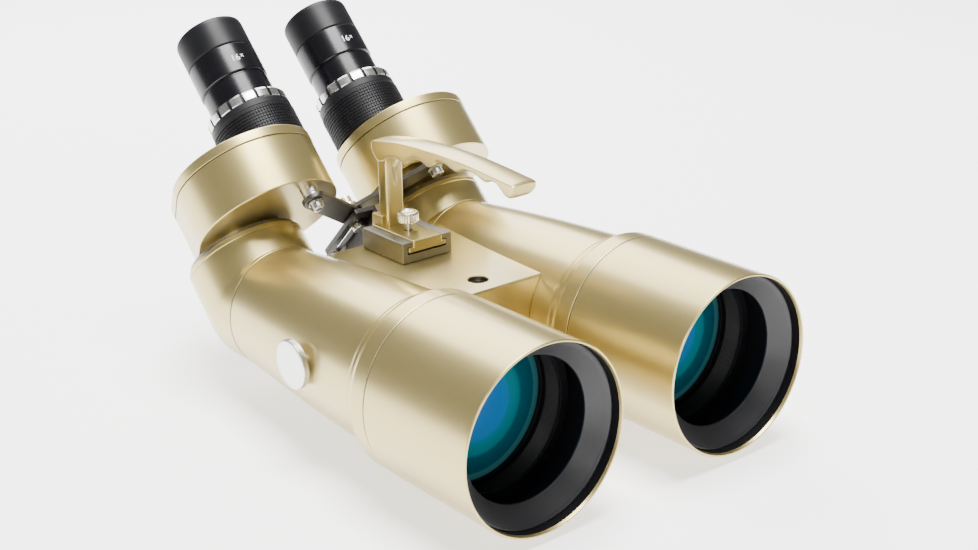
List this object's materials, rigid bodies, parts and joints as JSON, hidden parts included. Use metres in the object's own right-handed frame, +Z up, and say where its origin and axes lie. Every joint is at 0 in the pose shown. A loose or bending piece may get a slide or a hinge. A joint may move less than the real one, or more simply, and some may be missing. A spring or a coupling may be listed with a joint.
{
  "type": "astronomy binoculars",
  "caption": "Large binocular telescope with tapered barrels, deep dew hoods, eyepieces tilted at 45 degrees on swinging prism housings, and a carry handle.",
  "frame": {"origin": "middle of the tripod foot's bottom face, on the plane of symmetry", "axes": "+Y from the objectives towards the eyepieces (barrel axes), +Z up, +X to the user's left when looking through it"},
  "size_m": [0.224, 0.3458, 0.1972],
  "materials": {
    "gold_paint": "champagne-gold metallic lacquer on cast aluminium, satin gloss",
    "grey_baffle": "dark grey matt ribbed",
    "black_paint": "matt black anodised",
    "steel": "turned steel",
    "bright_steel": "bright nickel-plated",
    "grey_anodised": "grey anodised, satin",
    "rubber": "black moulded rubber",
    "black_gloss": "black anodised, semi-gloss",
    "coated_glass": "multi-coated, blue-green reflection",
    "prism_glass": "clear polished",
    "filter_glass": "tinted filter glass"
  },
  "bodies": {
    "frame": {"bridge": "gold_paint", "tripod_foot": "grey_anodised", "handle_shoe": "grey_anodised", "link_bracket": "grey_anodised", "right_objective_cell": "black_paint", "right_objective_doublet": "coated_glass", "right_objective_retainer": "black_paint", "right_barrel": "gold_paint", "right_elbow": "gold_paint", "right_elbow_prism": "prism_glass", "right_turret_collar": "gold_paint", "right_bearing_ring": "steel", "left_objective_cell": "black_paint", "left_objective_doublet": "coated_glass", "left_objective_retainer": "black_paint", "left_barrel": "gold_paint", "left_elbow": "gold_paint", "left_elbow_prism": "prism_glass", "left_turret_collar": "gold_paint", "left_bearing_ring": "steel"},
    "link_slider": {"link_pin": "bright_steel"},
    "handle": {"handle": "gold_paint"},
    "thumbscrew": {"thumbscrew": "bright_steel"},
    "right_hood": {"right_hood": "gold_paint", "right_hood_ring": "gold_paint", "right_hood_baffle": "grey_baffle"},
    "right_turret": {"right_prism_housing": "gold_paint", "right_housing_cover": "gold_paint", "right_rhomboid_prism": "prism_glass", "right_lever_stud": "bright_steel"},
    "right_focus_ring": {"right_focus_ring": "rubber"},
    "right_focus_tube": {"right_focus_tube": "black_paint"},
    "right_lock_ring": {"right_lock_ring": "bright_steel"},
    "right_eyepiece": {"right_eyepiece_body": "black_gloss", "right_eyecup": "rubber", "right_eye_lens": "coated_glass", "right_field_lens": "prism_glass"},
    "right_filter": {"right_filter_knob": "bright_steel", "right_filter_frame": "black_paint", "right_filter_glass": "filter_glass"},
    "right_lever": {"right_lever": "grey_anodised"},
    "left_hood": {"left_hood": "gold_paint", "left_hood_ring": "gold_paint", "left_hood_baffle": "grey_baffle"},
    "left_turret": {"left_prism_housing": "gold_paint", "left_housing_cover": "gold_paint", "left_rhomboid_prism": "prism_glass", "left_lever_stud": "bright_steel"},
    "left_focus_ring": {"left_focus_ring": "rubber"},
    "left_focus_tube": {"left_focus_tube": "black_paint"},
    "left_lock_ring": {"left_lock_ring": "bright_steel"},
    "left_eyepiece": {"left_eyepiece_body": "black_gloss", "left_eyecup": "rubber", "left_eye_lens": "coated_glass", "left_field_lens": "prism_glass"},
    "left_filter": {"left_filter_knob": "bright_steel", "left_filter_frame": "black_paint", "left_filter_glass": "filter_glass"},
    "left_lever": {"left_lever": "grey_anodised"}
  },
  "joints": [
    {"name": "right_turret_swing", "type": "hinge", "parent": "frame", "child": "right_turret", "pos_m": [-0.064, 0.077, 0.052], "axis": [0, 0.7071, 0.7071], "range_deg": [-2, 25]},
    {"name": "right_lever_pivot", "type": "hinge", "parent": "right_turret", "child": "right_lever", "pos_m": [-0.042, 0.03882, 0.09018], "axis": [0, 0.7071, 0.7071], "range_deg": [-1, 4.5]},
    {"name": "right_focus_turn", "type": "hinge", "parent": "right_turret", "child": "right_focus_ring", "pos_m": [-0.0368, 0.05883, 0.07017], "axis": [0, 0.7071, 0.7071], "range_deg": [0, 180.5]},
    {"name": "right_focus_travel", "type": "slide", "parent": "right_turret", "child": "right_focus_tube", "axis": [0, 0.7071, 0.7071], "range_m": [0, 0.006]},
    {"name": "right_lock_ring_turn", "type": "hinge", "parent": "right_focus_tube", "child": "right_lock_ring", "pos_m": [-0.0368, 0.05883, 0.07017], "axis": [0, 0.7071, 0.7071], "range_deg": [0, 180]},
    {"name": "right_eyepiece_pull", "type": "slide", "parent": "right_focus_tube", "child": "right_eyepiece", "axis": [0, 0.7071, 0.7071], "range_m": [0, 0.02]},
    {"name": "right_hood_slide", "type": "slide", "parent": "frame", "child": "right_hood", "axis": [0, 1, 0], "range_m": [0, 0.015]},
    {"name": "right_filter_turn", "type": "hinge", "parent": "frame", "child": "right_filter", "pos_m": [-0.064, -0.016, 0.0557], "axis": [-1, 0, 0], "range_deg": [0, 90]},
    {"name": "left_turret_swing", "type": "hinge", "parent": "frame", "child": "left_turret", "pos_m": [0.064, 0.077, 0.052], "axis": [0, 0.7071, 0.7071], "range_deg": [-25, 2]},
    {"name": "left_lever_pivot", "type": "hinge", "parent": "left_turret", "child": "left_lever", "pos_m": [0.042, 0.03882, 0.09018], "axis": [0, 0.7071, 0.7071], "range_deg": [-4.5, 1]},
    {"name": "left_focus_turn", "type": "hinge", "parent": "left_turret", "child": "left_focus_ring", "pos_m": [0.0368, 0.05883, 0.07017], "axis": [0, 0.7071, 0.7071], "range_deg": [0, 180.5]},
    {"name": "left_focus_travel", "type": "slide", "parent": "left_turret", "child": "left_focus_tube", "axis": [0, 0.7071, 0.7071], "range_m": [0, 0.006]},
    {"name": "left_lock_ring_turn", "type": "hinge", "parent": "left_focus_tube", "child": "left_lock_ring", "pos_m": [0.0368, 0.05883, 0.07017], "axis": [0, 0.7071, 0.7071], "range_deg": [0, 180]},
    {"name": "left_eyepiece_pull", "type": "slide", "parent": "left_focus_tube", "child": "left_eyepiece", "axis": [0, 0.7071, 0.7071], "range_m": [0, 0.02]},
    {"name": "left_hood_slide", "type": "slide", "parent": "frame", "child": "left_hood", "axis": [0, 1, 0], "range_m": [0, 0.015]},
    {"name": "left_filter_turn", "type": "hinge", "parent": "frame", "child": "left_filter", "pos_m": [0.064, -0.016, 0.0557], "axis": [1, 0, 0], "range_deg": [0, 90]},
    {"name": "link_pin_slide", "type": "slide", "parent": "frame", "child": "link_slider", "axis": [0, -0.7071, 0.7071], "range_m": [-0.031, 0.0026]},
    {"name": "handle_slide", "type": "slide", "parent": "frame", "child": "handle", "axis": [0, -1, 0], "range_m": [0, 0.036]},
    {"name": "thumbscrew_turn", "type": "hinge", "parent": "handle", "child": "thumbscrew", "pos_m": [0, 0.0302, 0.09], "axis": [0, 0, 1], "range_deg": [0, 360]}
  ],
  "couplings": [
    {"joint": "right_focus_turn", "follows": "right_focus_travel", "rad_per_m": 523.6},
    {"joint": "left_focus_turn", "follows": "left_focus_travel", "rad_per_m": 523.6},
    {"joint": "left_turret_swing", "follows": "right_turret_swing", "ratio": -1},
    {"joint": "right_lever_pivot", "follows": "right_turret_swing", "ratio": 0.15},
    {"joint": "left_lever_pivot", "follows": "right_turret_swing", "ratio": -0.15},
    {"joint": "link_pin_slide", "follows": "right_turret_swing", "m_per_rad": -0.0699}
  ]
}
